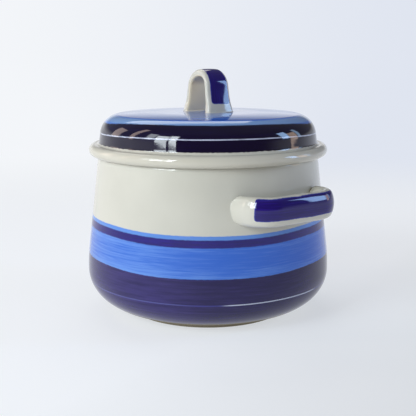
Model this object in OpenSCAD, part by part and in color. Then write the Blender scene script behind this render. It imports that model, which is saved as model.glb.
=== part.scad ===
// A round-bellied stoneware casserole: a pot with a pulled handle luted on each side, and a loose
// lid that rests on the pot's rim by its flange and carries a strap handle.
// +Z is up, the origin is on the pot's axis at the surface that it stands on, and the side
// handles lie along X. Profiles are drawn as radius against height and turned about Z.

/* [Pot] */
// Outside diameter at the belly, the widest place
belly_d = 200; // [184:1:224]
// Height of the rim above the surface that the pot stands on
pot_h = 128.4; // [112:0.4:150]
// Outside diameter at the rim
rim_d = 180.4; // [172:0.2:194]
// Outside radius of the rounded lower corner
corner_r = 33; // [28:1:44]
// Radius of the swell between the belly and the straight part of the wall
swell_r = 150; // [110:5:170]
// Thickness of the wall
wall_t = 6; // [4.5:0.25:8]
// Thickness of the floor
floor_t = 7; // [5:0.25:10]
// Rounding of the rim's edges
rim_edge_r = 1.8; // [1:0.1:2.2]

/* [Foot ring] */
// Outside diameter of the foot ring
foot_d = 132; // [120:1:150]
// Height of the foot ring below the lowest point of the rounded corner
foot_h = 2.1; // [0.8:0.1:4]
// Width of the foot ring
foot_w = 9; // [6:0.5:14]
// Depth of the recess inside the foot ring
foot_recess = 2.5; // [1:0.1:4]
// Rounding of the foot ring's lower edges
foot_edge_r = 0.7; // [0.4:0.1:1.5]

/* [Side handles] */
// Drop of the middle of the bar below the rim
handle_drop = 30; // [24:0.4:46]
// Height of the bar
handle_h = 21.8; // [16:0.2:30]
// Thickness of the bar
handle_t = 12; // [10:0.5:16]
// Rounding of the bar's upper and lower edges
handle_edge_r = 4.8; // [3:0.1:4.9]
// Finger gap between the wall and the middle of the bar
handle_gap = 11; // [9:0.2:22]
// Overall width of a handle, across its two ends
handle_span = 86; // [78:0.4:110]
// Radius of each bend, at the middle of the bar
handle_bend_r = 16; // [13:0.5:26]

/* [Lid] */
// How far the flange stands out past the rim
flange_overhang = 7.2; // [4:0.1:10]
// Radius of the flange's rounded edge, half of its thickness
flange_edge_r = 4.6; // [3.5:0.1:6]
// Radius of the hollow between the flange and the lid's wall
flange_fillet_r = 2.6; // [1.5:0.1:4]
// How far the foot of the lid's wall lies inside the rim's outer edge
lid_inset = 0.9; // [0:0.1:3]
// Height of the lid from its seat to the flat land in the middle of its top
lid_h = 34.4; // [28:0.4:46]
// Diameter of the flat land that the strap stands on
land_d = 72; // [56:1:100]
// Radius of the gentle crown between the land and the shoulder
crown_r = 450; // [300:10:900]
// Lean of the lid's wall, in degrees from upright
lid_lean = 8; // [2:0.5:12]
// Radius of the lid's rounded shoulder
shoulder_r = 17; // [12:0.5:22]
// Thickness of the lid
lid_t = 6; // [4:0.25:8]
// Depth of the locating collar below the seat
collar_h = 9; // [5:0.5:16]
// Thickness of the locating collar
collar_t = 5; // [3.5:0.25:7]
// Rounding of the collar's lower edges
collar_edge_r = 1.6; // [0.8:0.1:1.7]
// Clearance between the collar and the pot's mouth
collar_gap = 1.2; // [0.6:0.1:2.5]

/* [Strap handle] */
// Height of the strap above the lid's land
strap_h = 34.4; // [29:0.1:44]
// Outside width of the arch, across the top of its two legs
strap_span = 29.5; // [24:0.5:36]
// Width of the strap
strap_w = 20.5; // [14:0.5:28]
// Thickness of the strap
strap_t = 6.5; // [4.5:0.25:7.5]
// Rounding of the strap's edges
strap_edge_r = 2.1; // [1:0.1:2.2]
// Radius of each leg's outward sweep towards the lid
strap_flare_r = 70; // [55:5:300]

/* [Hidden] */
$fa = 3;
$fs = 0.5;

cream = [0.80, 0.79, 0.74];
navy = [0.13, 0.10, 0.36];
blue = [0.28, 0.44, 0.78];

// A solid that is cut away runs past the face that it opens by this much
past = 2;
// Where one outline runs smoothly into the next, it is sunk in that one by this much
lap = 0.02;

// Pot, outside: the corner, swell and rim arcs are tangent to each other and to the straight wall
belly_r = belly_d / 2;
rim_r = rim_d / 2;
foot_r = foot_d / 2;
belly_z = foot_h + corner_r;
swell_c = [belly_r - swell_r, belly_z];
rim_c = [rim_r - rim_edge_r, pot_h - rim_edge_r];
wall_lean = tangent_angle(swell_c, swell_r, rim_c, rim_edge_r);
wall_n = dir(wall_lean);
swell_end = swell_c + (swell_r - lap) * wall_n;
swell_lap = 2 * sqrt(2 * swell_r * lap);
rim_end = rim_c + (rim_edge_r - lap) * wall_n;

// Pot, inside: the wall keeps its thickness, and the floor runs into it by one arc
floor_z = foot_recess + floor_t;
inner_corner_r = belly_z - floor_z;
inner_belly_r = belly_r - wall_t;
inner_swell_end = swell_end - wall_t * wall_n;
inner_rim_c = rim_c - [(wall_t - 2 * rim_edge_r) / cos(wall_lean), 0];
inner_rim_end = inner_rim_c - (rim_edge_r - lap) * wall_n;
mouth_r = inner_rim_c.x - rim_edge_r;

// Side handle: the centre line is a straight middle, two bends and two straight ends
handle_z = pot_h - handle_drop;
handle_half = handle_span / 2 - handle_t / 2;
handle_flat = handle_half - handle_bend_r;
handle_reach = wall_r(handle_z) + handle_gap + handle_t / 2;
handle_bend_x = handle_reach - handle_bend_r;

// Lid, outside: wall, shoulder, crown and land are tangent, and the flange's edge blends into the wall
seat_z = pot_h;
lid_top = seat_z + lid_h;
flange_c = [rim_r + flange_overhang - flange_edge_r, seat_z + flange_edge_r];
lid_foot = [rim_r - lid_inset, seat_z + 2 * flange_edge_r];
lid_n = dir(lid_lean);
lid_up = dir(90 + lid_lean);
land_r = land_d / 2;
crown_c = [land_r, lid_top - crown_r];
shoulder_c = along(lid_foot - shoulder_r * lid_n, lid_up, crown_c, crown_r - shoulder_r + lap);
crown_n = (shoulder_c - crown_c) / norm(shoulder_c - crown_c);
fillet_c = along(
    lid_foot + (flange_fillet_r - lap) * lid_n, lid_up, flange_c, flange_edge_r + flange_fillet_r - lap
);

// Lid, inside: the collar fits the mouth, and its bore widens at 45 degrees to the lid's wall
collar_r = mouth_r - collar_gap;
collar_bore_r = collar_r - collar_t;
lid_inner_foot = lid_foot - lid_t * lid_n;
throat_z = seat_z + lid_t / 2;
throat_top = lid_inner_foot.x - collar_bore_r + throat_z;

// Strap handle: the centre line is half a circle, and the legs sweep outward from its ends
arch_r = strap_span / 2 - strap_t / 2;
arch_z = lid_top + strap_h - strap_span / 2;
leg_angle = asin((arch_z - lid_top + past) / strap_flare_r);

// Unit vector at an angle from the radius, in degrees
function dir(a) = [cos(a), sin(a)];
// Angle of the outward normal of the line that touches two circles on the same side
function tangent_angle(c1, r1, c2, r2) =
    let (d = c2 - c1)
    atan2(d.y, d.x) - acos((r1 - r2) / norm(d));
// Point that lies at distance r from c on the line through p along the unit vector u
function along(p, u, c, r) =
    let (w = p - c, b = w * u)
    p + u * (sqrt(b * b - w * w + r * r) - b);
// Outside radius of the pot's wall at a height above the belly
function wall_r(z) =
    z > swell_end.y
    ? swell_end.x - (z - swell_end.y) * tan(wall_lean)
    : swell_c.x + sqrt(pow(swell_r, 2) - pow(z - belly_z, 2));

// Rectangle from corner to corner
module block(low, high) {
    translate(low) square(high - low);
}

module disc(c, r) {
    translate(c) circle(r);
}

// Centred rectangle with round corners
module round_rect(w, h, r) {
    square([w - 2 * r, h], center = true);
    square([w, h - 2 * r], center = true);
    for (x = [-1, 1], y = [-1, 1]) disc([x * (w / 2 - r), y * (h / 2 - r)], r);
}

// Upright oval of four arcs: small ones above and below, and large ones that touch them
module oval(w, h, r) {
    c = h / 2 - r;
    k = r - lap;
    side_r = (pow(w / 2, 2) + c * c - k * k) / (w - 2 * k);
    side_c = side_r - w / 2;
    touch = c * side_r / (side_r - k);
    for (y = [-1, 1]) disc([0, y * c], r);
    intersection() {
        disc([-side_c, 0], side_r);
        disc([side_c, 0], side_r);
        block([-w / 2, -touch], [w / 2, touch]);
    }
}

// Foot ring, with round lower edges
module foot_ring_2d() {
    low = foot_r - foot_w;
    block([low, foot_edge_r], [foot_r, belly_z]);
    block([low + foot_edge_r, 0], [foot_r - foot_edge_r, belly_z]);
    for (r = [low + foot_edge_r, foot_r - foot_edge_r]) disc([r, foot_edge_r], foot_edge_r);
}

// The pot's outer form, solid from the axis out
module pot_outer_2d() {
    foot_ring_2d();
    block([0, foot_recess], [foot_r - foot_w / 2, belly_z]);
    difference() {
        block([0, foot_h], [belly_r - corner_r, belly_z]);
        block([0, 0], [foot_r - foot_w, foot_recess]);
    }
    intersection() {
        disc([belly_r - corner_r, belly_z], corner_r);
        block([belly_r - corner_r, 0], [belly_r, belly_z]);
    }
    intersection() {
        disc(swell_c, swell_r);
        block([0, belly_z], [belly_r, swell_end.y + swell_lap]);
    }
    polygon([[0, swell_end.y], swell_end, rim_end, rim_c, [rim_c.x, pot_h], [0, pot_h]]);
    disc(rim_c, rim_edge_r);
}

// The pot's inside, open at the mouth
module pot_inside_2d() {
    block([0, floor_z], [inner_belly_r - inner_corner_r, belly_z]);
    intersection() {
        disc([inner_belly_r - inner_corner_r, belly_z], inner_corner_r);
        block([inner_belly_r - inner_corner_r, floor_z], [inner_belly_r, belly_z]);
    }
    intersection() {
        disc(swell_c, swell_r - wall_t);
        block([0, belly_z], [belly_r, inner_swell_end.y + swell_lap]);
    }
    difference() {
        polygon([
            [0, inner_swell_end.y], inner_swell_end, inner_rim_end,
            [inner_rim_c.x, pot_h], [inner_rim_c.x, pot_h + past], [0, pot_h + past]
        ]);
        disc(inner_rim_c, rim_edge_r);
    }
}

// The lid's outer form above its seat, solid from the axis out
module lid_outer_2d() {
    disc(flange_c, flange_edge_r);
    polygon([
        [0, seat_z], [flange_c.x, seat_z], flange_c, [lid_foot.x, flange_c.y], lid_foot, [0, lid_foot.y]
    ]);
    difference() {
        polygon([
            flange_c, fillet_c, fillet_c - flange_fillet_r * lid_n, [lid_foot.x - lid_t / 2, flange_c.y]
        ]);
        disc(fillet_c, flange_fillet_r);
    }
    dome_2d(0, lid_foot);
}

// Land, crown, shoulder and wall at a depth below the lid's outer face, down to the wall's low point
module dome_2d(depth, low) {
    top = lid_top - depth;
    turn_r = shoulder_r - depth;
    crown_end = crown_c + (crown_r - depth) * crown_n;
    block([0, low.y], [land_r, top]);
    intersection() {
        disc(crown_c, crown_r - depth, $fn = 256);
        block([land_r, low.y], [crown_end.x, top]);
    }
    intersection() {
        disc(shoulder_c, turn_r);
        block(shoulder_c, shoulder_c + [turn_r, turn_r]);
    }
    polygon([[0, low.y], low, shoulder_c + (turn_r - lap) * lid_n, shoulder_c, [0, shoulder_c.y]]);
}

// The locating collar below the seat, with round lower edges
module collar_2d() {
    low = seat_z - collar_h;
    block([collar_bore_r, low + collar_edge_r], [collar_r, seat_z + past]);
    block([collar_bore_r + collar_edge_r, low], [collar_r - collar_edge_r, seat_z]);
    for (r = [collar_bore_r + collar_edge_r, collar_r - collar_edge_r]) {
        disc([r, low + collar_edge_r], collar_edge_r);
    }
}

// The lid's hollow: the collar's bore, the widening throat and the inside of the dome
module lid_inside_2d() {
    throat_end = [lid_inner_foot.x, throat_top];
    block([0, seat_z - collar_h - past], [collar_bore_r, throat_z]);
    polygon([[0, throat_z], [collar_bore_r, throat_z], throat_end, [0, throat_top]]);
    dome_2d(lid_t, throat_end);
}

// One side handle on +X, swept along its centre line and cut by the pot's own wall
module side_handle() {
    difference() {
        translate([handle_bend_x, 0, handle_z]) {
            translate([handle_bend_r, handle_flat]) rotate([90, 0, 0]) linear_extrude(2 * handle_flat)
                handle_section();
            for (side = [0, 1]) mirror([0, side]) {
                translate([0, handle_flat]) rotate_extrude(angle = 90) translate([handle_bend_r, 0])
                    handle_section();
                translate([0, handle_half]) rotate([90, 0, -90]) linear_extrude(handle_bend_x)
                    handle_section();
            }
        }
        rotate_extrude() pot_outer_2d();
    }
}

module handle_section() {
    oval(handle_t, handle_h, handle_edge_r);
}

// The arch, turned in the XZ plane: half a ring, and two legs that turn the other way
module strap() {
    translate([0, 0, arch_z]) rotate([90, 0, 0]) {
        rotate_extrude(angle = 180) translate([arch_r, 0]) strap_section();
        for (side = [0, 1]) mirror([side, 0]) translate([arch_r + strap_flare_r, 0]) rotate(180)
            rotate_extrude(angle = leg_angle) translate([strap_flare_r, 0]) strap_section();
    }
}

module strap_section() {
    round_rect(strap_t, strap_w, strap_edge_r);
}

module pot() {
    color(cream) rotate_extrude() difference() {
        pot_outer_2d();
        pot_inside_2d();
    }
}

module side_handle_right() {
    color(navy) side_handle();
}

module side_handle_left() {
    color(navy) mirror([1, 0, 0]) side_handle();
}

module lid() {
    color(blue) rotate_extrude() {
        difference() {
            lid_outer_2d();
            lid_inside_2d();
        }
        collar_2d();
    }
}

module lid_handle() {
    color(navy) difference() {
        strap();
        rotate_extrude() lid_outer_2d();
    }
}

pot();
side_handle_right();
side_handle_left();
lid();
lid_handle();
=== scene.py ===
"""Looks of a round-bellied stoneware casserole: glazed pot, lift-off lid, strap and side handles.

Profiles and sections are worked out in millimetres and put into the meshes in metres. Each clay
piece carries an attribute named brush, which says where a point lies for the painter: on turned
pieces it is the cosine and sine of the turn and the length along the profile, and on pulled
pieces the length along the bar, the place across it and how far the face looks outward.
"""

import math

import bpy
import numpy as np
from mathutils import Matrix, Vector


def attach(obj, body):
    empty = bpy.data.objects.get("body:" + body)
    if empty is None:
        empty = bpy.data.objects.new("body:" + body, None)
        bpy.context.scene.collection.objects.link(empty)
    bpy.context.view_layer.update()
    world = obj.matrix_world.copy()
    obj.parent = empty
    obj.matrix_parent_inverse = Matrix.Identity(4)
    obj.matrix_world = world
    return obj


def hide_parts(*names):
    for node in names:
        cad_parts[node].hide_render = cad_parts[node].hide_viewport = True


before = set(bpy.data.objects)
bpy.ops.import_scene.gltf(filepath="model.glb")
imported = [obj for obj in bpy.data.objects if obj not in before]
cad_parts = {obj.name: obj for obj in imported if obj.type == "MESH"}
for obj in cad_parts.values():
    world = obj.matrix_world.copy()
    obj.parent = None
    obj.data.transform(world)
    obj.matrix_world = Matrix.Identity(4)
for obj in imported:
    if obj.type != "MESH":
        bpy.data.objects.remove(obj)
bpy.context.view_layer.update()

MM = 0.001
ROUND_STEPS = 256

# Pot, as turned: heights and radii in millimetres, turns and leans in degrees
FOOT_R = 66.0
FOOT_BORE_R = 57.0
FOOT_EDGE_R = 0.7
FOOT_EASE = 0.4
RECESS_Z = 2.5
CORNER_C = (66.98, 35.1)
CORNER_R = 33.0
CORNER_DROP = 30.7
CORNER_START = -89.3
SWELL_C = (-50.02, 35.1)
SWELL_R = 150.0
WALL_T = 6.0
WALL_LEAN = 6.7536
RIM_C = (88.4, 126.6)
RIM_EDGE_R = 1.8
RIM_Z = 128.4
FLOOR_Z = 9.5
INNER_CORNER_R = 25.6

# Lid, as turned
LAND_R = 36.0
LAND_Z = 162.8
CROWN_R = 450.0
CROWN_TURN = 4.66
SHOULDER_C = (71.179, 144.389)
SHOULDER_R = 17.0
LID_T = 6.0
LID_LEAN = 8.0
FILLET_C = (91.558, 140.072)
FILLET_R = 2.6
FILLET_LAP = 8.9
FLANGE_C = (92.8, 133.0)
FLANGE_R = 4.6
FLANGE_TURN = 103.2
COLLAR_R = 82.983
COLLAR_BORE_R = 77.983
COLLAR_EDGE_R = 1.6
COLLAR_Z = 119.4
THROAT = ((83.358, 136.775), (77.983, 131.4))

# Throwing rings inside the pot and under the lid: their pitch and height, and where they run
POT_RING_PITCH = 8.5
POT_RING_H = 0.10
PLAIN_BELOW_RIM = 6.0
PLAIN_ABOVE_FLOOR = 2.0
LID_RING_PITCH = 7.0
LID_RING_H = 0.06
LID_RING_RUN = (4.0, 60.0)

# Side handles, as pulled: an oval bar bent to a U and luted on the wall
BAR_Z = 98.4
BAR_T = 12.0
BAR_H = 21.8
BAR_END_R = 4.8
BAR_REACH = 110.5
BAR_HALF = 37.0
BAR_BOW = 21.0
BAR_BOW_TURN = 3.0

# Strap on the lid: an arch whose legs sweep outward
STRAP_T = 6.5
STRAP_W = 20.5
STRAP_EDGE_R = 2.1
STRAP_PILLOW = 0.16
ARCH_R = 11.3
ARCH_Z = 182.64
ARCH_TURN = 83.0
LEG_R = 190.0
STRAP_RUN = 37.9

# Strap's thickness and width along its run, as factors, with the reach of each bell curve
HAUNCH_THICK = 0.74
CROWN_THICK = (0.26, 8)
FOOT_THICK = (0.30, 13)
LEG_WIDE = 1.09
CROWN_NARROW = (0.13, 11)
FOOT_WIDE = 0.02

# How the pulled pieces meet what they stand on: the run that is searched for the seat, the
# fillet, the swell and its lean and reach, and how far the upper and lower edges are rounded off
BAR_SEAT = dict(
    search=70.0, fillet=1.2, swell=0.0, lean=-0.06, swell_reach=9.0, rounding=(3.8, 2.2)
)
STRAP_SEAT = dict(
    search=ARCH_R * math.pi / 2 + 30,
    fillet=0.9, swell=0.12, lean=0.0, swell_reach=6.0, rounding=(0.0, 0.0),
)
SEARCH_STEPS = 1500
HALF_RINGS = 61
RING_CROWDING = 1.7
LEAN_EASE = 4
ROUNDING_POWER = 1.5
SEAT_SUNK = 0.15
POLE_DEPTH = 2.0

# Heights of the painted edges on the pot's wall and on the lid
BARE_TOP_Z = (9.3, 10.0)
POT_SCRATCH_Z = 28.1
NAVY_TOP_Z = 48.9
BLUE_MIDDLE_Z = 61.6
BLUE_TOP_Z = 71.6
LINE_TOP_Z = 77.4
SKY_TOP_Z = 80.3
LID_NAVY_Z = (139.3, 158.2)
LID_SCRATCH_Z = 148.5
# Band of the lid's shoulder that is painted paler blue: a painted highlight
LID_SHEEN_Z = (157.0, 160.6)
# Ring of the crown where the blue is painted deeper: painted shade
LID_SHADE_RING_Z = (160.9, 161.7)

# Sides of the ware, as turns in degrees: where the painter's brush ran lowest on the pot and
# highest on the lid, where the paint is thinnest, and where the thin line is scratched firmly
BRUSH_SIDE = -37.5
THIN_SIDE = -82
FIRM_SIDE = -5.5
POT_HANG = (-0.76, 0.94)
LID_FLANGE_SLIP = 0.8
LID_NAVY_SLIP = 4.6
LID_SCRATCH_SLIP = 1.8

# Glaze and paint colours, as linear light
CREAM = (0.572, 0.556, 0.485)
CREAM_THIN = (0.560, 0.490, 0.360)
NAVY = (0.006, 0.002, 0.058)
NAVY_PALE = (0.030, 0.020, 0.135)
NAVY_LID = (0.003, 0.001, 0.018)
NAVY_LID_PALE = (0.006, 0.003, 0.034)
NAVY_LINE = (0.006, 0.001, 0.120)
NAVY_PANEL = (0.011, 0.004, 0.110)
PANEL_BRIM = (0.03, 0.05, 0.40)
BLUE = (0.020, 0.115, 0.540)
BLUE_PALE = (0.105, 0.240, 0.640)
# Paler blue of the painted highlight on the lid's shoulder
BLUE_SHEEN = (0.170, 0.300, 0.570)
SKY = (0.085, 0.225, 0.610)
SCRATCH = (0.520, 0.560, 0.700)
SCRATCH_FAINT = (0.030, 0.030, 0.230)
BARE_CLAY = (0.230, 0.195, 0.130)
# Warm cream, brighter than the glaze, painted under the strap's arch: painted warm bounce light
ARCH_WARM_BOUNCE = (0.770, 0.665, 0.475)

# Depth of the glaze's relief in metres
GLAZE_RELIEF = 0.00006
LID_RELIEF = 0.00005

# Navy panels on the bars: half length, place across, corner, the least outward look of a painted
# face, and the colour of the faces that look inward with its share: thin glaze on the handles, and
# painted warm bounce light under the strap's arch
HANDLE_PANEL = dict(
    half_long=37.4, low=-5.8, high=10.2, corner=1.6, outward=-0.35, inward_glaze_and_bounce=CREAM_THIN, share=0.15
)
STRAP_PANEL = dict(
    half_long=31.6, low=-7.6, high=8.4, corner=2.6, outward=0.3, inward_glaze_and_bounce=ARCH_WARM_BOUNCE, share=1.0
)


def way(degrees):
    """The level direction at a turn: cosine, sine and nought."""
    return (math.cos(math.radians(degrees)), math.sin(math.radians(degrees)), 0.0)


# Runs of profile points


def line(p, q, step=2.0):
    """Points from p towards q about step apart: p plus an even share of the way, q left out."""
    p, q = np.array(p, float), np.array(q, float)
    count = max(1, int(round(np.linalg.norm(q - p) / step)))
    share = np.arange(count)[:, None] / count
    return p + share * (q - p)


def arc(centre, radius, start, end, step=1.6):
    """Points on a circle from one angle to the other in degrees, the last one left out."""
    sweep = math.radians(abs(end - start))
    count = max(6, int(round(radius * sweep / step)))
    angle = np.radians(start + (end - start) * np.arange(count) / count)
    return np.stack([centre[0] + radius * np.cos(angle), centre[1] + radius * np.sin(angle)], 1)


def toward(centre, radius, degrees):
    """The point of a circle at an angle."""
    angle = math.radians(degrees)
    return (centre[0] + radius * math.cos(angle), centre[1] + radius * math.sin(angle))


def pot_profile():
    """Underside, foot ring, corner, swell, wall, rim, inside wall and floor, as radius and height.

    The corner is a quarter circle pressed flatter from below by one factor.
    """
    inner_rim_x = RIM_C[0] - (WALL_T - 2 * RIM_EDGE_R) / math.cos(math.radians(WALL_LEAN))
    inner_rim_c = (inner_rim_x, RIM_C[1])
    inner_wall_top = toward(inner_rim_c, RIM_EDGE_R, 180 + WALL_LEAN)
    inner_swell_r = SWELL_R - WALL_T
    inner_belly = SWELL_C[0] + SWELL_R - WALL_T
    inner_corner_c = (inner_belly - INNER_CORNER_R, CORNER_C[1])
    ring_in = (FOOT_BORE_R + FOOT_EDGE_R, FOOT_EDGE_R)
    ring_out = (FOOT_R - FOOT_EDGE_R, FOOT_EDGE_R)
    low = CORNER_C[1] - CORNER_DROP
    eased = (FOOT_R, low - FOOT_EASE)
    corner = arc(CORNER_C, CORNER_R, CORNER_START, 0)
    corner[:, 1] = CORNER_C[1] + (corner[:, 1] - CORNER_C[1]) * CORNER_DROP / CORNER_R
    return np.concatenate([
        line((0, RECESS_Z), (FOOT_BORE_R, RECESS_Z)),
        line((FOOT_BORE_R, RECESS_Z), (FOOT_BORE_R, FOOT_EDGE_R), step=0.6),
        arc(ring_in, FOOT_EDGE_R, 180, 270),
        line((ring_in[0], 0), (ring_out[0], 0), step=1.0),
        arc(ring_out, FOOT_EDGE_R, -90, 0),
        line((FOOT_R, FOOT_EDGE_R), eased, step=0.4),
        line(eased, (CORNER_C[0] + FOOT_EASE, low), step=0.4),
        corner,
        arc(SWELL_C, SWELL_R, 0, WALL_LEAN),
        line(toward(SWELL_C, SWELL_R, WALL_LEAN), toward(RIM_C, RIM_EDGE_R, WALL_LEAN)),
        arc(RIM_C, RIM_EDGE_R, WALL_LEAN, 90, step=0.4),
        line((RIM_C[0], RIM_Z), (inner_rim_x, RIM_Z), step=0.6),
        arc(inner_rim_c, RIM_EDGE_R, 90, 180 + WALL_LEAN, step=0.4),
        line(inner_wall_top, toward(SWELL_C, inner_swell_r, WALL_LEAN)),
        arc(SWELL_C, inner_swell_r, WALL_LEAN, 0),
        arc(inner_corner_c, INNER_CORNER_R, 0, -90),
        line((inner_corner_c[0], FLOOR_Z), (0, FLOOR_Z), step=2.5),
        [(0, FLOOR_Z)],
    ])


def lid_profile():
    """Ceiling, inside wall, throat, collar, seat, flange, outer wall, shoulder, crown and land."""
    crown_c = (LAND_R, LAND_Z - CROWN_R)
    shoulder_turn = 90 - CROWN_TURN
    inner_shoulder = SHOULDER_R - LID_T
    collar_in = (COLLAR_BORE_R + COLLAR_EDGE_R, COLLAR_Z + COLLAR_EDGE_R)
    collar_out = (COLLAR_R - COLLAR_EDGE_R, COLLAR_Z + COLLAR_EDGE_R)
    fillet_end = LID_LEAN - 180
    wall_foot = toward(FILLET_C, FILLET_R, fillet_end)
    return np.concatenate([
        line((0, LAND_Z - LID_T), (LAND_R, LAND_Z - LID_T)),
        arc(crown_c, CROWN_R - LID_T, 90, shoulder_turn, step=2.0),
        arc(SHOULDER_C, inner_shoulder, shoulder_turn, LID_LEAN),
        line(toward(SHOULDER_C, inner_shoulder, LID_LEAN), THROAT[0]),
        line(THROAT[0], THROAT[1], step=1.5),
        line(THROAT[1], (COLLAR_BORE_R, collar_in[1])),
        arc(collar_in, COLLAR_EDGE_R, 180, 270, step=0.4),
        line((collar_in[0], COLLAR_Z), (collar_out[0], COLLAR_Z), step=0.6),
        arc(collar_out, COLLAR_EDGE_R, -90, 0, step=0.4),
        line((COLLAR_R, collar_out[1]), (COLLAR_R, RIM_Z)),
        line((COLLAR_R, RIM_Z), (FLANGE_C[0], RIM_Z)),
        arc(FLANGE_C, FLANGE_R, -90, FLANGE_TURN, step=0.5),
        arc(FILLET_C, FILLET_R, FLANGE_TURN - 180 - FILLET_LAP, fillet_end, step=0.4),
        line(wall_foot, toward(SHOULDER_C, SHOULDER_R, LID_LEAN), step=1.0),
        arc(SHOULDER_C, SHOULDER_R, LID_LEAN, shoulder_turn, step=0.8),
        arc(crown_c, CROWN_R, shoulder_turn, 90, step=1.6),
        line((LAND_R, LAND_Z), (0, LAND_Z), step=1.6),
        [(0, LAND_Z)],
    ])


def run_length(points):
    """Length along a profile up to each of its points: the running sum of the steps."""
    steps = np.linalg.norm(np.diff(points, axis=0), axis=1)
    return np.concatenate([[0.0], np.cumsum(steps)])


# Meshes


def clay(name, points, faces, brush):
    """An object at the origin from points in millimetres, with the brush attribute on its points."""
    mesh = bpy.data.meshes.new(name)
    mesh.from_pydata((points * MM).tolist(), [], faces)
    mesh.shade_smooth()
    held = mesh.attributes.new("brush", "FLOAT_VECTOR", "POINT")
    held.data.foreach_set("vector", brush.astype(np.float32).ravel())
    mesh.validate()
    piece = bpy.data.objects.new(name, mesh)
    bpy.context.scene.collection.objects.link(piece)
    return piece


def ring_faces(rings, steps, first, last):
    """Four-sided faces between neighbouring closed rings, and fans to a first and a last pole."""
    i = np.arange(rings - 1)[:, None] * steps
    j = np.arange(steps)[None, :]
    k = (j + 1) % steps
    quads = np.stack([i + j, i + k, i + k + steps, i + j + steps], -1).reshape(-1, 4)
    j, k = j[0], k[0]
    top = (rings - 1) * steps
    low_fan = np.stack([np.full(steps, first), k, j], 1)
    high_fan = np.stack([top + j, top + k, np.full(steps, last)], 1)
    return quads.tolist() + low_fan.tolist() + high_fan.tolist()


def turned(name, profile, ripple):
    """A profile turned about the axis: radius times cosine and sine of the turn, at its height.

    Both profile ends lie on the axis and become poles. ripple gives how far each point is moved
    along the profile's outward direction, from its length along the profile, height and turn.
    """
    length = run_length(profile)
    run = np.gradient(profile, length, axis=0)
    run /= np.linalg.norm(run, axis=1)[:, None]
    outward = np.stack([run[:, 1], -run[:, 0]], 1)
    turns = np.arange(ROUND_STEPS) * 2 * math.pi / ROUND_STEPS
    inner = slice(1, -1)
    s = length[inner, None]
    move = ripple(s, profile[inner, 1][:, None], turns[None, :])
    radius = profile[inner, 0][:, None] + outward[inner, 0][:, None] * move
    height = profile[inner, 1][:, None] + outward[inner, 1][:, None] * move
    cosine = np.broadcast_to(np.cos(turns), radius.shape)
    sine = np.broadcast_to(np.sin(turns), radius.shape)
    rings = np.stack([radius * cosine, radius * sine, height], -1).reshape(-1, 3)
    marks = np.stack([cosine, sine, np.broadcast_to(s, radius.shape)], -1).reshape(-1, 3)
    count = len(rings)
    poles = [(0, 0, profile[0, 1]), (0, 0, profile[-1, 1])]
    pole_marks = [(0, 0, 0), (0, 0, length[-1])]
    faces = ring_faces(len(profile) - 2, ROUND_STEPS, count, count + 1)
    points = np.concatenate([rings, poles])
    return clay(name, points, faces, np.concatenate([marks, pole_marks]))


def throwing_rings(s, turns, pitch):
    """Rings that climb as a slow spiral: the sine of the length over the pitch plus the turn."""
    return np.sin(2 * math.pi * s / pitch + turns)


def pot_ripple(profile):
    """Gives the pot's ripple: faint throwing rings on the inside wall, and none elsewhere."""
    rim_top = int(np.argmax(profile[:, 1]))
    inside_from = run_length(profile)[rim_top] + PLAIN_BELOW_RIM

    def ripple(s, z, turns):
        on_wall = (z > FLOOR_Z + PLAIN_ABOVE_FLOOR) & (z < RIM_Z - PLAIN_BELOW_RIM)
        reach = np.where((s > inside_from) & on_wall, POT_RING_H, 0.0)
        return reach * throwing_rings(s, turns, POT_RING_PITCH)

    return ripple


def lid_ripple(s, z, turns):
    """Faint throwing rings under the lid's crown."""
    under_crown = (s > LID_RING_RUN[0]) & (s < LID_RING_RUN[1])
    return np.where(under_crown, LID_RING_H, 0.0) * throwing_rings(s, turns, LID_RING_PITCH)


def oval_section(count=72, fine_count=7201):
    """The side handle's section: four arcs that touch, sampled evenly along its outline.

    At a direction the point lies on the small end arc where the direction is steep and on the
    large side arc elsewhere. Gives place out, place across, and the outward direction's two parts.
    """
    reach = BAR_H / 2 - BAR_END_R
    side_r = (BAR_T**2 / 4 + reach**2 - BAR_END_R**2) / (BAR_T - 2 * BAR_END_R)
    shift = side_r - BAR_T / 2
    joint = math.sin(math.atan2(reach, shift))

    def at(angle):
        c, s = np.cos(angle), np.sin(angle)
        steep = np.abs(s) > joint
        out = np.where(steep, BAR_END_R * c, side_r * c - shift * np.sign(c))
        across = np.where(steep, reach * np.sign(s) + BAR_END_R * s, side_r * s)
        return out, across, c, s

    fine = np.linspace(0, 2 * math.pi, fine_count)
    out, across, _, _ = at(fine)
    length = run_length(np.stack([out, across], 1))
    return at(np.interp(np.arange(count) * length[-1] / count, length, fine))


def strap_section(corner=9, face=10, edge=3):
    """The strap's section: a rectangle with round edges, walked round from the outer face's edge.

    Each corner is a quarter circle, the faces between them are shared out evenly, and the
    thickness falls off from the middle by the square of the place across.
    """
    half_t, half_w = STRAP_T / 2 - STRAP_EDGE_R, STRAP_W / 2 - STRAP_EDGE_R
    corners = [(1, 1), (-1, 1), (-1, -1), (1, -1)]
    points, facing = [], []
    for quarter, (x, y) in enumerate(corners):
        angle = np.radians(90 * quarter + np.linspace(0, 90, corner))
        away = np.stack([np.cos(angle), np.sin(angle)], 1)
        points.append(np.array([x * half_t, y * half_w]) + STRAP_EDGE_R * away)
        facing.append(away)
        count = edge if quarter % 2 == 0 else face
        next_x, next_y = corners[(quarter + 1) % 4]
        start = points[-1][-1]
        end = np.array([next_x * half_t, next_y * half_w]) + STRAP_EDGE_R * away[-1]
        share = (np.arange(1, count) / count)[:, None]
        points.append(start + share * (end - start))
        facing.append(np.repeat(away[-1:], count - 1, 0))
    points, facing = np.concatenate(points), np.concatenate(facing)
    pillow = 1 - STRAP_PILLOW * (2 * points[:, 1] / STRAP_W) ** 2
    return points[:, 0] * pillow, points[:, 1], facing[:, 0], facing[:, 1]


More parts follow.
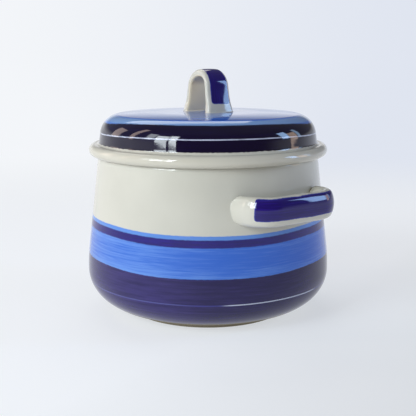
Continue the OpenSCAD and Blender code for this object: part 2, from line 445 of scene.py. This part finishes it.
def bar_path(length):
    """Handle's centre line from its middle: a slight bow, a bend to the wall, a straight end.

    Each arc adds its radius times the change of sine and of cosine of the turn. Gives place
    along Y, place along X and the outward direction in the same order.
    """
    side, run = np.sign(length), np.abs(length)
    most = math.radians(BAR_BOW_TURN)
    bow_r = BAR_BOW / most
    bend_r = (BAR_HALF - bow_r * math.sin(most)) / (1 - math.sin(most))
    bow = np.minimum(run, BAR_BOW) / bow_r
    bend = np.clip(most + (run - BAR_BOW) / bend_r, most, math.pi / 2)
    past = np.maximum(run - BAR_BOW - bend_r * (math.pi / 2 - most), 0)
    y = bow_r * np.sin(bow) + bend_r * (np.sin(bend) - math.sin(most))
    x = BAR_REACH - bow_r * (1 - np.cos(bow)) - bend_r * (math.cos(most) - np.cos(bend)) - past
    angle = np.where(run < BAR_BOW, bow, bend)
    return side * y, x, side * np.sin(angle), np.cos(angle)


def bell(length, reach):
    """A bell curve: one at nought, falling off by the square of the length over the reach."""
    return np.exp(-((length / reach) ** 2))


def strap_path(length):
    """Strap's centre line from its crown: most of a quarter circle, then a wide arc turned outward.

    Gives place along X, place along Z, the outward direction in the same order, and the factors of
    thickness and width: a base with bell curves of the length, thick at the crown and the feet,
    thin at the haunches, and wider towards the feet.
    """
    side, run = np.sign(length), np.abs(length)
    most = math.radians(ARCH_TURN)
    angle = np.clip(run / ARCH_R, 0, most)
    lean = math.pi / 2 - most
    flare = lean + np.maximum(run - ARCH_R * most, 0) / LEG_R
    x = ARCH_R * np.sin(angle) + LEG_R * (math.cos(lean) - np.cos(flare))
    z = ARCH_Z + ARCH_R * np.cos(angle) - LEG_R * (np.sin(flare) - math.sin(lean))
    upright = run > ARCH_R * most
    out_x = np.where(upright, np.cos(flare), np.sin(angle))
    out_z = np.where(upright, np.sin(flare), np.cos(angle))
    thick = HAUNCH_THICK + CROWN_THICK[0] * bell(run, CROWN_THICK[1])
    thick = thick + FOOT_THICK[0] * bell(STRAP_RUN - run, FOOT_THICK[1])
    wide = LEG_WIDE - CROWN_NARROW[0] * bell(run, CROWN_NARROW[1]) + FOOT_WIDE * run / STRAP_RUN
    return side * x, z, side * out_x, out_z, thick, wide


def quarter_round(radius, left):
    """How far a quarter round has fallen where so much is left to its end.

    That is its radius less the root of: its square less the square of what is short of it.
    """
    short = np.clip(radius - left, 0, radius)
    return radius - np.sqrt(radius**2 - short**2)


def pulled(
    name, section, path, place, clearance, lift, search, fillet, swell, lean, swell_reach, rounding
):
    """A section carried along a path from seat to seat, worked into the clay that it stands on.

    Each line along the bar ends where its clearance above the seat reaches nought. Towards the
    seat the section swells across by a bell curve of the length that is left, more on one side than
    on the other by the lean. Its upper and lower edges are rounded off towards the seat by quarter
    rounds of the two radii in rounding, and the last bit spreads outward by the fillet's quarter
    round. The spread is then put back to the clearance that the plain bar has there.
    """
    out, across, face_out, face_across = (v[None, :] for v in section)
    fine = np.linspace(0, search, SEARCH_STEPS)[:, None]
    step = fine[1, 0]
    columns = np.arange(out.shape[1])
    ends = {}
    for side in (-1, 1):
        gap = clearance(place(path(side * fine), out, across))
        hit = np.argmax(gap < 0, axis=0)
        before, after = gap[hit - 1, columns], gap[hit, columns]
        ends[side] = fine[hit - 1, 0] + step * before / (before - after)
    share = np.linspace(0, 1, HALF_RINGS)[:, None]
    share = 1 - (1 - share) ** RING_CROWDING
    length = np.concatenate([-(ends[-1] * share)[:0:-1], ends[1] * share])
    left = np.concatenate([(ends[-1] * (1 - share))[:0:-1], ends[1] * (1 - share)])
    spread = quarter_round(fillet, left)
    wide = 1 + bell(left, swell_reach) * (swell + lean * np.tanh(across / LEAN_EASE))
    drop = quarter_round(np.where(across > 0, rounding[0], rounding[1]), left)
    outermost = np.abs(across) / np.abs(across).max()
    worked = across * wide - np.sign(across) * drop * outermost**ROUNDING_POWER
    plain = place(path(length), out, across)
    points = place(path(length), out + face_out * spread, worked + face_across * spread)
    sunk = SEAT_SUNK * np.clip(fillet - left, 0, fillet) / fillet
    points = lift(points, clearance(plain) - clearance(points) - sunk)
    rings, steps = length.shape
    marks = np.stack(np.broadcast_arrays(length, across, face_out), -1).reshape(-1, 3)
    middles = np.stack([points[0].mean(0), points[-1].mean(0)])
    poles = lift(middles[:, None, :], np.full((2, 1), -POLE_DEPTH))[:, 0]
    pole_marks = np.stack([marks[:steps].mean(0), marks[-steps:].mean(0)])
    count = rings * steps
    faces = ring_faces(rings, steps, count, count + 1)
    points = np.concatenate([points.reshape(-1, 3), poles])
    return clay(name, points, faces, np.concatenate([marks, pole_marks]))


def handle_place(side):
    """Places the handle's section: out along the centre line's outward direction, across along Z."""

    def place(path, out, across):
        y, x, out_y, out_x = path
        reach = (x + out_x * out) * side
        return np.stack(np.broadcast_arrays(reach, y + out_y * out, BAR_Z + across), -1)

    return place


def wall_radius(z):
    """Outside radius of the pot's straight wall at a height."""
    base = toward(SWELL_C, SWELL_R, WALL_LEAN)
    return base[0] - (z - base[1]) * math.tan(math.radians(WALL_LEAN))


def wall_clearance(points):
    """How far points lie outside the pot's wall, along the radius."""
    return np.hypot(points[..., 0], points[..., 1]) - wall_radius(points[..., 2])


def wall_lift(points, away):
    """Moves points outward along the radius."""
    radius = np.hypot(points[..., 0], points[..., 1])
    scale = 1 + away / radius
    return np.stack([points[..., 0] * scale, points[..., 1] * scale, points[..., 2]], -1)


def strap_place(path, out, across):
    """Places the strap's section: out along the arch's outward direction, across along Y."""
    x, z, out_x, out_z, thick, wide = path
    away = out * thick
    return np.stack(np.broadcast_arrays(x + out_x * away, across * wide, z + out_z * away), -1)


def land_clearance(points):
    """Height of points above the lid's land."""
    return points[..., 2] - LAND_Z


def land_lift(points, away):
    """Moves points upward."""
    return np.stack([points[..., 0], points[..., 1], points[..., 2] + away], -1)


def turn_outward(piece):
    """Turns a closed mesh's faces outward: where its signed volume is negative, all are flipped."""
    mesh = piece.data
    points = np.empty(len(mesh.vertices) * 3)
    mesh.vertices.foreach_get("co", points)
    points = points.reshape(-1, 3)
    mesh.calc_loop_triangles()
    corners = np.empty(len(mesh.loop_triangles) * 3, int)
    mesh.loop_triangles.foreach_get("vertices", corners)
    a, b, c = (points[corners[k::3]] for k in range(3))
    if np.einsum("ij,ij->i", a, np.cross(b, c)).sum() < 0:
        mesh.flip_normals()


# Node trees


class Nodes:
    """The node tree of a material or world, cleared. Most calls add a node and give its output."""

    def __init__(self, owner):
        owner.use_nodes = True
        self.tree = owner.node_tree
        self.tree.nodes.clear()

    def add(self, kind, *inputs, out=0, **settings):
        node = self.tree.nodes.new(kind)
        for key, value in settings.items():
            setattr(node, key, value)
        for socket, value in zip(node.inputs, inputs):
            self.feed(socket, value)
        return node.outputs[out]

    def feed(self, socket, value):
        if isinstance(value, bpy.types.NodeSocket):
            self.tree.links.new(value, socket)
        elif value is not None:
            socket.default_value = value

    def end(self, kind, shader):
        """The tree's last node."""
        ending = self.tree.nodes.new(kind)
        self.tree.links.new(shader, ending.inputs[0])

    def sum(self, a, b):
        return self.add("ShaderNodeMath", a, b, operation="ADD")

    def times(self, a, b):
        return self.add("ShaderNodeMath", a, b, operation="MULTIPLY")

    def along(self, vector, direction):
        """How far a vector reaches along a direction."""
        return self.add("ShaderNodeVectorMath", vector, direction, out=1, operation="DOT_PRODUCT")

    def ramp(self, value, low, high, to_low=0.0, to_high=1.0):
        """An even rise from to_low at low to to_high at high, level on both sides."""
        return self.add("ShaderNodeMapRange", value, low, high, to_low, to_high)

    def step(self, value, low, high, to_low=0.0, to_high=1.0):
        """A soft step from to_low below low to to_high above high."""
        return self.add(
            "ShaderNodeMapRange", value, low, high, to_low, to_high, interpolation_type="SMOOTHSTEP"
        )

    def mix(self, share, a, b):
        """Colour a, with the share of colour b."""
        node = self.tree.nodes.new("ShaderNodeMix")
        node.data_type = "RGBA"
        for socket, value in ((node.inputs[0], share), (node.inputs[6], a), (node.inputs[7], b)):
            if isinstance(value, tuple):
                value = (*value, 1.0)
            self.feed(socket, value)
        return node.outputs[2]


# Glazes


class Glaze(Nodes):
    """The node tree of one glaze, which reads the brush attribute."""

    def __init__(self, name):
        self.material = bpy.data.materials.new(name)
        super().__init__(self.material)
        self.mark = self.add("ShaderNodeAttribute", out=1, attribute_name="brush")
        parts = self.tree.nodes.new("ShaderNodeSeparateXYZ")
        self.tree.links.new(self.mark, parts.inputs[0])
        self.parts = parts.outputs

    def most(self, a, b):
        return self.add("ShaderNodeMath", a, b, operation="MAXIMUM")

    def size(self, a):
        return self.add("ShaderNodeMath", a, operation="ABSOLUTE")

    def edge(self, value, place, soft):
        """A soft step about a place."""
        return self.step(value, place - soft, place + soft)

    def between(self, value, low, high, soft):
        """One between low and high, nought outside, with soft steps about both."""
        return self.times(
            self.edge(value, low, soft), self.step(value, high - soft, high + soft, 1.0, 0.0)
        )

    def noise(self, scale, detail=2.0, source=None, roughness=0.5):
        """Cloudy noise from nought to one. scale has one factor for each part of its source."""
        source = self.mark if source is None else source
        stretched = self.add("ShaderNodeVectorMath", source, scale, operation="MULTIPLY")
        return self.add("ShaderNodeTexNoise", stretched, None, 1.0, detail, roughness)

    def wander(self, scale, reach, detail=2.0):
        """Noise about nought, of about that reach."""
        centred = self.sum(self.noise(scale, detail), -0.5)
        return self.times(centred, 2 * reach)

    def finish(self, colour, roughness, height, depth):
        """The glaze's shader: colour under a clear gloss, with a relief of that depth in metres."""
        bump = self.tree.nodes.new("ShaderNodeBump")
        bump.inputs["Strength"].default_value = 1.0
        bump.inputs["Distance"].default_value = depth
        self.tree.links.new(height, bump.inputs["Height"])
        gloss = self.tree.nodes.new("ShaderNodeBsdfPrincipled")
        gloss.inputs["IOR"].default_value = 1.5
        self.feed(gloss.inputs["Base Color"], colour)
        self.feed(gloss.inputs["Roughness"], roughness)
        self.tree.links.new(bump.outputs[0], gloss.inputs["Normal"])
        self.end("ShaderNodeOutputMaterial", gloss.outputs[0])
        return self.material


def shade(colour, factor):
    """A colour times a factor."""
    return tuple(factor * c for c in colour)


def cream_ground(glaze):
    """Cream glaze: slow clouds of thickness and sparse small iron specks."""
    place = glaze.add("ShaderNodeTexCoord", out=3)
    clouds = glaze.noise((28.0, 28.0, 28.0), detail=3.0, source=place)
    ground = glaze.mix(glaze.step(clouds, 0.25, 0.8), CREAM, shade(CREAM, 0.94))
    specks = glaze.noise((900.0, 900.0, 900.0), detail=1.0, source=place)
    ground = glaze.mix(glaze.step(specks, 0.76, 0.84, 0.0, 0.35), ground, CREAM_THIN)
    return ground, place


def brushed(glaze, deep, pale, scale, low=0.35, high=0.75):
    """Paint laid on with a wide brush on the wheel: long thin streaks between two colours."""
    streaks = glaze.noise(scale, detail=4.0, roughness=0.6)
    return glaze.mix(glaze.step(streaks, low, high), deep, pale)


def glaze_relief(glaze, place):
    """Slow waves in the glaze and fine orange peel, as a height."""
    waves = glaze.noise((45.0, 45.0, 45.0), detail=1.0, source=place)
    peel = glaze.noise((420.0, 420.0, 420.0), detail=1.0, source=place)
    return glaze.sum(waves, glaze.times(peel, 0.08))


def glaze_gloss(glaze, place, least, most):
    """Roughness of the glaze, cloudy between two levels."""
    clouds = glaze.noise((160.0, 160.0, 160.0), detail=2.0, source=place)
    return glaze.step(clouds, 0.3, 0.8, least, most)


def pot_bands(glaze, drawn, thin, at, ground):
    """The pot's painted bands below the cream: sky-blue line, navy line, brushed blue and navy.

    drawn is the length along the profile as the brush followed it, and thin is how thinly the
    paint lies. Each band is laid over the one above it.
    """
    drag = glaze.noise((3.0, 3.0, 0.5), detail=4.0, roughness=0.6)
    drag = glaze.sum(drag, glaze.times(thin, 0.24))
    navy = glaze.mix(glaze.step(drag, 0.38, 1.02), NAVY, NAVY_PALE)
    from_middle = glaze.size(glaze.sum(glaze.parts[2], -at(BLUE_MIDDLE_Z)))
    off_middle = glaze.step(from_middle, 3.0, 15.0, -0.10, 0.16)
    streaks = glaze.noise((3.4, 3.4, 0.95), detail=5.0, roughness=0.62)
    streaks = glaze.sum(glaze.sum(streaks, off_middle), glaze.times(thin, 0.20))
    blue = glaze.mix(glaze.step(streaks, 0.34, 0.94), BLUE, BLUE_PALE)
    dark_line = brushed(glaze, NAVY_LINE, shade(NAVY_LINE, 1.6), (5.0, 5.0, 0.9))
    sky = brushed(glaze, SKY, BLUE_PALE, (5.0, 5.0, 0.8))
    colour = ground
    for paint, top_z, soft in (
        (sky, SKY_TOP_Z, 0.35),
        (dark_line, LINE_TOP_Z, 0.5),
        (blue, BLUE_TOP_Z, 0.5),
        (navy, NAVY_TOP_Z, 0.3),
    ):
        colour = glaze.mix(glaze.edge(drawn, at(top_z), soft), paint, colour)
    return colour


def pot_scratch(glaze, thin, at, colour):
    """The thin line scratched through the pot's navy: firm on one side, faint elsewhere."""
    traced = glaze.sum(glaze.parts[2], glaze.wander((2.2, 2.2, 0.01), reach=0.3))
    middle, half = at(POT_SCRATCH_Z), 0.42
    scratch = glaze.between(traced, middle - half, middle + half, soft=0.3)
    firm = glaze.step(glaze.along(glaze.mark, way(FIRM_SIDE)), 0.88, 0.94, 0.0, 0.85)
    strength = glaze.sum(firm, glaze.times(thin, 0.18))
    strength = glaze.sum(strength, glaze.wander((1.6, 1.6, 0.0), reach=0.10))
    cut = glaze.mix(glaze.step(strength, 0.0, 0.9), SCRATCH_FAINT, SCRATCH)
    return glaze.mix(glaze.times(scratch, 0.9), colour, cut)


def pot_glaze(profile):
    """The pot: bare foot, painted bands, and cream above them, inside and on the bottom."""
    length = run_length(profile)
    foot_edge = int(np.argmin(np.abs(profile[:, 0] - FOOT_R) + profile[:, 1]))
    rim_top = int(np.argmax(profile[:, 1]))
    outside = slice(foot_edge, rim_top)
    top = length[rim_top]

    def at(z):
        return float(np.interp(z, profile[outside, 1], length[outside]))

    glaze = Glaze("pot_glaze")
    s = glaze.parts[2]
    hang = glaze.step(glaze.along(glaze.mark, way(BRUSH_SIDE)), 0.6, 1.0, *POT_HANG)
    hang = glaze.sum(hang, glaze.wander((1.4, 1.4, 0.01), reach=0.25))
    rag = glaze.wander((26.0, 26.0, 0.25), reach=0.30, detail=3.0)
    drawn = glaze.sum(s, glaze.sum(hang, rag))
    ground, place = cream_ground(glaze)
    rim = glaze.between(s, top - 1.2, top + 3.6, soft=0.8)
    ground = glaze.mix(glaze.times(rim, 0.45), ground, CREAM_THIN)
    thin = glaze.along(glaze.mark, way(THIN_SIDE))
    thin = glaze.sum(thin, glaze.wander((1.3, 1.3, 0.01), reach=0.25))
    thin = glaze.step(thin, 0.55, 1.0)
    colour = pot_bands(glaze, drawn, thin, at, ground)
    colour = pot_scratch(glaze, thin, at, colour)
    inside = glaze.step(s, top, top + 2.0)
    colour = glaze.mix(inside, colour, ground)
    past_bore = glaze.step(s, FOOT_BORE_R - 1.5, FOOT_BORE_R - 0.5)
    colour = glaze.mix(past_bore, ground, colour)
    below_paint = glaze.step(drawn, at(BARE_TOP_Z[0]), at(BARE_TOP_Z[1]), 1.0, 0.0)
    bare = glaze.times(below_paint, past_bore)
    grit = glaze.noise((700.0, 700.0, 700.0), detail=3.0, source=place)
    colour = glaze.mix(bare, colour, glaze.mix(grit, shade(BARE_CLAY, 0.75), BARE_CLAY))
    roughness = glaze.sum(glaze_gloss(glaze, place, 0.05, 0.11), glaze.times(bare, 0.7))
    height = glaze.sum(glaze_relief(glaze, place), glaze.times(glaze.times(bare, grit), 1.5))
    return glaze.finish(colour, roughness, height, GLAZE_RELIEF)


def lid_glaze(profile):
    """The lid: blue land, crown and shoulder with a ring of painted shade and a painted highlight
    band, navy wall with a thin scratched line, cream flange.
    """
    length = run_length(profile)
    seat = int(np.argmax(profile[:, 0]))

    def at(z):
        return float(np.interp(z, profile[seat:, 1], length[seat:]))

    glaze = Glaze("lid_glaze")
    s = glaze.parts[2]
    slip = glaze.step(glaze.along(glaze.mark, way(BRUSH_SIDE)), 0.2, 0.95, 1.0, 0.0)
    ground, place = cream_ground(glaze)
    flange = glaze.between(s, length[seat] - 5.0, length[seat] + 4.0, soft=3.0)
    ground = glaze.mix(glaze.times(flange, 0.22), ground, CREAM_THIN)
    navy = brushed(glaze, NAVY_LID, NAVY_LID_PALE, (3.0, 3.0, 0.6), low=0.45, high=0.85)
    # A ring of deeper blue where the crown turns to the shoulder: painted shade
    ring = glaze.between(s, at(LID_SHADE_RING_Z[0]), at(LID_SHADE_RING_Z[1]), soft=1.2)
    streaks = glaze.noise((1.5, 1.5, 0.6), detail=4.0, roughness=0.6)
    streaks = glaze.sum(streaks, glaze.times(ring, -0.16))
    blue = glaze.mix(glaze.step(streaks, 0.22, 0.64), BLUE, BLUE_PALE)
    # Paler blue band on the shoulder with a wandering edge: a painted highlight
    painted_sheen = glaze.between(s, at(LID_SHEEN_Z[0]), at(LID_SHEEN_Z[1]), soft=1.5)
    painted_sheen = glaze.sum(painted_sheen, glaze.wander((3.0, 3.0, 0.7), reach=0.45, detail=3.0))
    blue = glaze.mix(glaze.step(painted_sheen, 0.15, 0.95), blue, BLUE_SHEEN)
    rag = glaze.wander((48.0, 48.0, 0.5), reach=0.75, detail=3.0)
    drawn = glaze.sum(s, glaze.sum(glaze.wander((1.5, 1.5, 0.01), reach=0.35), rag))
    drawn = glaze.sum(drawn, glaze.times(slip, LID_FLANGE_SLIP))
    colour = glaze.mix(glaze.edge(drawn, at(LID_NAVY_Z[0]), 0.2), ground, navy)
    soft = glaze.sum(s, glaze.times(slip, LID_NAVY_SLIP))
    soft = glaze.sum(soft, glaze.wander((6.0, 6.0, 0.4), reach=0.5, detail=3.0))
    colour = glaze.mix(glaze.edge(soft, at(LID_NAVY_Z[1]), 0.8), colour, blue)
    traced = glaze.sum(s, glaze.times(slip, LID_SCRATCH_SLIP))
    traced = glaze.sum(traced, glaze.wander((2.6, 2.6, 0.01), reach=0.3))
    middle, half = at(LID_SCRATCH_Z), 0.4
    scratch = glaze.between(traced, middle - half, middle + half, soft=0.28)
    strength = glaze.step(glaze.noise((7.0, 7.0, 0.0), detail=2.0), 0.3, 0.6, 0.5, 1.0)
    colour = glaze.mix(glaze.times(scratch, strength), colour, SCRATCH)
    roughness = glaze_gloss(glaze, place, 0.04, 0.09)
    return glaze.finish(colour, roughness, glaze_relief(glaze, place), LID_RELIEF)


def panel_glaze(name, half_long, low, high, corner, outward, inward_glaze_and_bounce, share):
    """A navy panel on a bar's outer face: inside its length and between two places across it.

    The distance from the panel's edge is that of a rectangle with round corners: the root of the
    squares of what lies beyond its straight sides, less the corner's radius.
    """
    glaze = Glaze(name)
    along, across, facing = glaze.parts
    ground, place = cream_ground(glaze)
    ragged = glaze.add("ShaderNodeTexNoise", place, None, 420.0, 3.0, 0.6)
    wavy = glaze.add("ShaderNodeTexNoise", place, None, 70.0, 1.0, 0.5)
    loose = glaze.sum(glaze.sum(ragged, -0.5), glaze.times(glaze.sum(wavy, -0.5), 2.2))
    beyond = glaze.sum(glaze.size(along), -half_long)
    middle, half = (low + high) / 2, (high - low) / 2
    beside = glaze.sum(glaze.size(glaze.sum(across, -middle)), -half)
    outer_long = glaze.most(glaze.sum(beyond, corner), 0.0)
    outer_side = glaze.most(glaze.sum(beside, corner), 0.0)
    square = glaze.sum(glaze.times(outer_long, outer_long), glaze.times(outer_side, outer_side))
    away = glaze.sum(glaze.add("ShaderNodeMath", square, operation="SQRT"), -corner)
    away = glaze.sum(away, glaze.times(loose, 0.6))
    painted = glaze.step(away, -0.25, 0.25, 1.0, 0.0)
    painted = glaze.times(painted, glaze.edge(facing, outward, 0.1))
    streaks = glaze.noise((0.05, 1.1, 0.0), detail=4.0)
    navy = glaze.mix(glaze.step(streaks, 0.4, 0.8), NAVY_PANEL, shade(NAVY_PANEL, 1.8))
    brim = glaze.step(away, -1.1, -0.1)
    navy = glaze.mix(glaze.times(brim, 0.5), navy, PANEL_BRIM)
    # Faces that look inward: thin glaze on the handles, painted warm bounce light under the strap's
    # arch
    ground = glaze.mix(glaze.step(facing, -0.5, 0.1, share, 0.0), ground, inward_glaze_and_bounce)
    colour = glaze.mix(painted, ground, navy)
    roughness = glaze_gloss(glaze, place, 0.05, 0.10)
    return glaze.finish(colour, roughness, glaze_relief(glaze, place), GLAZE_RELIEF)


# The pieces

pot_line = pot_profile()
lid_line = lid_profile()
pot = turned("stoneware_pot", pot_line, pot_ripple(pot_line))
lid = turned("stoneware_lid", lid_line, lid_ripple)
handles = [
    pulled(
        name, oval_section(), bar_path, handle_place(side), wall_clearance, wall_lift, **BAR_SEAT
    )
    for name, side in (("handle_right", 1), ("handle_left", -1))
]
strap = pulled(
    "lid_strap", strap_section(), strap_path, strap_place, land_clearance, land_lift, **STRAP_SEAT
)

handle_paint = panel_glaze("handle_glaze", **HANDLE_PANEL)
strap_paint = panel_glaze("strap_glaze", **STRAP_PANEL)
for piece, paint, body, slot, node in (
    (pot, pot_glaze(pot_line), "pot_body", "pot_glaze", "pot"),
    (handles[0], handle_paint, "pot_body", "handle_glaze", "side_handle_right"),
    (handles[1], handle_paint, "pot_body", "handle_glaze", "side_handle_left"),
    (lid, lid_glaze(lid_line), "lid_body", "lid_glaze", "lid"),
    (strap, strap_paint, "lid_body", "handle_glaze", "lid_handle"),
):
    turn_outward(piece)
    piece.data.materials.append(paint)
    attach(piece, body)
    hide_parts(node)


# Studio: floor, backdrop light, windows and camera. Lengths are in metres, turns in degrees

CAMERA_TURN = 52.5
CAMERA_AWAY = 0.67073
CAMERA_Z = 0.21039
CAMERA_TILT = 79.18
CAMERA_LENS = 70.58
CAMERA_SENSOR = 36.0
TO_CAMERA = way(CAMERA_TURN - 90)
TO_RIGHT = way(CAMERA_TURN)

# Backdrop, which changes between these places to the right of the view
BACK_LEFT = (0.90, 0.92, 0.95)
BACK_RIGHT = (0.74, 0.78, 0.87)
BACK_SPAN = (-0.3, 0.3)

# Floor: its rings, its colours, the share of its own glow, how it is painted darker towards the
# right and the front as painted shade, and where it fades to the backdrop
FLOOR_STEPS = 96
FLOOR_RINGS = (0.3, 0.8, 2.0, 5.0, 14.0)
FLOOR_PALE = (0.94, 0.95, 0.97)
FLOOR_COOL = (0.92, 0.955, 1.0)
FLOOR_GLOW = 0.60
FLOOR_SLOPE = (-0.45, -0.35)
FLOOR_TILT = (-0.165, -0.03)
FLOOR_LEVEL = (0.80, 1.0)
FLOOR_FADE = (0.42, 1.1)

# Room: a bright sheet behind, walls to the left and right, a dim front and the ceiling, with the
# heights and sideways places between which one changes to the next
SHEET = (1.04, 1.05, 1.07)
SHEET_FROM = (0.060, 0.072)
SHEET_FADE = (0.08, 0.24)
RIGHT_LOWER = 0.08
RIGHT_SPAN = (0.1, 0.6)
WALL_LEFT = (0.22, 0.23, 0.26)
WALL_RIGHT = (0.16, 0.16, 0.17)
WALL_SPAN = (-0.6, 0.3)
FRONT_DIM = (0.13, 0.105, 0.085)
FRONT_AIM = 10
FRONT_FROM = (0.035, 0.065)
FRONT_SPAN = (0.30, 0.72)
OVERHEAD = (0.21, 0.20, 0.19)
OVERHEAD_FROM = (0.50, 0.85)

# Windows: name, turn to the right of the camera and height above level as seen from the pot,
# width and height in degrees, radiance and colour
DAYLIGHT = (0.87, 0.95, 1.0)
WINDOWS = (
    ("window_left_near", -36, 22, 8, 26, 15.5, DAYLIGHT),
    ("window_left_far", -49, 20.5, 13, 24, 13.0, DAYLIGHT),
    ("window_left_wide", -63, 26, 9, 22, 5.6, DAYLIGHT),
    ("window_left_warm", -86, 28, 6, 40, 4.0, (1.0, 0.78, 0.66)),
    ("window_left_last", -112, 19, 14, 26, 2.6, (1.0, 0.80, 0.70)),
    ("window_right_near", 87, 20, 10, 22, 10.0, (0.38, 0.61, 1.0)),
    ("window_right_warm", 99, 14.3, 12, 20, 3.2, (1.0, 0.74, 0.58)),
    ("window_right_far", 109, 18, 5, 24, 3.5, (0.45, 0.68, 1.0)),
    ("skylight", -166, 50, 40, 24, 2.4, (1.0, 0.97, 0.92)),
)
WINDOW_AWAY = 2.2
WINDOW_AIM_Z = 0.1


def backdrop_colour(nodes, direction):
    """The backdrop's colour: bright on the left of the view, a little darker on the right."""
    aside = nodes.along(direction, TO_RIGHT)
    return nodes.mix(nodes.step(aside, *BACK_SPAN), BACK_LEFT, BACK_RIGHT)


def lay_floor():
    """A wide pale disc at the foot of the pot, painted darker towards the right and the front as
    painted shade, that fades to the backdrop's colour far out.
    """
    turns = np.arange(FLOOR_STEPS) * 2 * math.pi / FLOOR_STEPS
    radii = np.array(FLOOR_RINGS)[:, None]
    rings = np.stack([radii * np.cos(turns), radii * np.sin(turns), 0 * radii * turns], -1)
    points = np.concatenate([[(0, 0, 0)], rings.reshape(-1, 3)])
    j = np.arange(FLOOR_STEPS)
    k = (j + 1) % FLOOR_STEPS
    fan = np.stack([0 * j, 1 + j, 1 + k], 1).tolist()
    i = 1 + np.arange(len(radii) - 1)[:, None] * FLOOR_STEPS
    quads = np.stack([i + j, i + j + FLOOR_STEPS, i + k + FLOOR_STEPS, i + k], -1)
    mesh = bpy.data.meshes.new("floor")
    mesh.from_pydata(points.tolist(), [], fan + quads.reshape(-1, 4).tolist())
    floor = bpy.data.objects.new("floor", mesh)
    bpy.context.scene.collection.objects.link(floor)
    material = bpy.data.materials.new("floor_paper")
    paper = Nodes(material)
    place = paper.add("ShaderNodeTexCoord", out=3)
    far = paper.add("ShaderNodeVectorMath", place, out=1, operation="LENGTH")
    direction = paper.add("ShaderNodeVectorMath", place, operation="NORMALIZE")
    # Painted shade: the floor's colour and glow fall off towards the right and the front
    slope = tuple(FLOOR_SLOPE[0] * r + FLOOR_SLOPE[1] * f for r, f in zip(TO_RIGHT, TO_CAMERA))
    level = paper.ramp(paper.along(place, slope), *FLOOR_TILT, *FLOOR_LEVEL)
    pale = paper.add("ShaderNodeVectorMath", FLOOR_PALE, None, None, level, operation="SCALE")
    cool = paper.add("ShaderNodeVectorMath", FLOOR_COOL, None, None, level, operation="SCALE")
    matt = paper.add("ShaderNodeBsdfDiffuse", pale, 0.0)
    even = paper.add("ShaderNodeEmission", cool, 1.0)
    near = paper.add("ShaderNodeMixShader", FLOOR_GLOW, matt, even)
    glow = paper.add("ShaderNodeEmission", backdrop_colour(paper, direction), 1.0)
    fade = paper.step(far, *FLOOR_FADE)
    paper.end("ShaderNodeOutputMaterial", paper.add("ShaderNodeMixShader", fade, near, glow))
    mesh.materials.append(material)


def light_room():
    """The room: a pale backdrop that fades with height, and a dim side in front and overhead."""
    world = bpy.data.worlds.new("room")
    bpy.context.scene.world = world
    room = Nodes(world)
    direction = room.add("ShaderNodeTexCoord", out=0)
    height = room.add("ShaderNodeSeparateXYZ", direction, out=2)
    aside = room.along(direction, TO_RIGHT)
    backdrop = backdrop_colour(room, direction)
    sheet = room.mix(room.step(height, *SHEET_FROM), backdrop, SHEET)
    wall = room.mix(room.step(aside, *WALL_SPAN), WALL_LEFT, WALL_RIGHT)
    lower = room.times(room.step(aside, *RIGHT_SPAN), RIGHT_LOWER)
    wall = room.mix(room.ramp(room.sum(height, lower), *SHEET_FADE), sheet, wall)
    front = room.mix(room.step(height, *FRONT_FROM), backdrop, FRONT_DIM)
    to_front = room.along(direction, way(CAMERA_TURN + FRONT_AIM - 90))
    around = room.mix(room.step(to_front, *FRONT_SPAN), wall, front)
    around = room.mix(room.step(height, *OVERHEAD_FROM), around, OVERHEAD)
    room.end("ShaderNodeOutputWorld", room.add("ShaderNodeBackground", around, 1.0))


def hang_window(name, azimuth, elevation, wide, high, radiance, colour):
    """A window as a flat lamp that faces the pot. Its power is radiance times pi times its area."""
    a, e = math.radians(CAMERA_TURN + azimuth), math.radians(elevation)
    outward = Vector((math.sin(a) * math.cos(e), -math.cos(a) * math.cos(e), math.sin(e)))
    lamp = bpy.data.lights.new(name, "AREA")
    lamp.shape = "RECTANGLE"
    lamp.size = 2 * WINDOW_AWAY * math.tan(math.radians(wide / 2))
    lamp.size_y = 2 * WINDOW_AWAY * math.tan(math.radians(high / 2))
    lamp.energy = radiance * math.pi * lamp.size * lamp.size_y
    lamp.color = colour
    window = bpy.data.objects.new(name, lamp)
    window.location = outward * WINDOW_AWAY + Vector((0, 0, WINDOW_AIM_Z))
    window.rotation_euler = outward.to_track_quat("Z", "Y").to_euler()
    bpy.context.scene.collection.objects.link(window)


def set_camera():
    """The photograph's view: from the right handle's side, a little above the lid."""
    data = bpy.data.cameras.new("camera")
    data.sensor_width = CAMERA_SENSOR
    data.lens = CAMERA_LENS
    camera = bpy.data.objects.new("camera", data)
    camera.location = (CAMERA_AWAY * TO_CAMERA[0], CAMERA_AWAY * TO_CAMERA[1], CAMERA_Z)
    camera.rotation_euler = (math.radians(CAMERA_TILT), 0.0, math.radians(CAMERA_TURN))
    bpy.context.scene.collection.objects.link(camera)
    bpy.context.scene.camera = camera


lay_floor()
light_room()
for window in WINDOWS:
    hang_window(*window)
set_camera()
bpy.context.scene.view_settings.view_transform = "Standard"
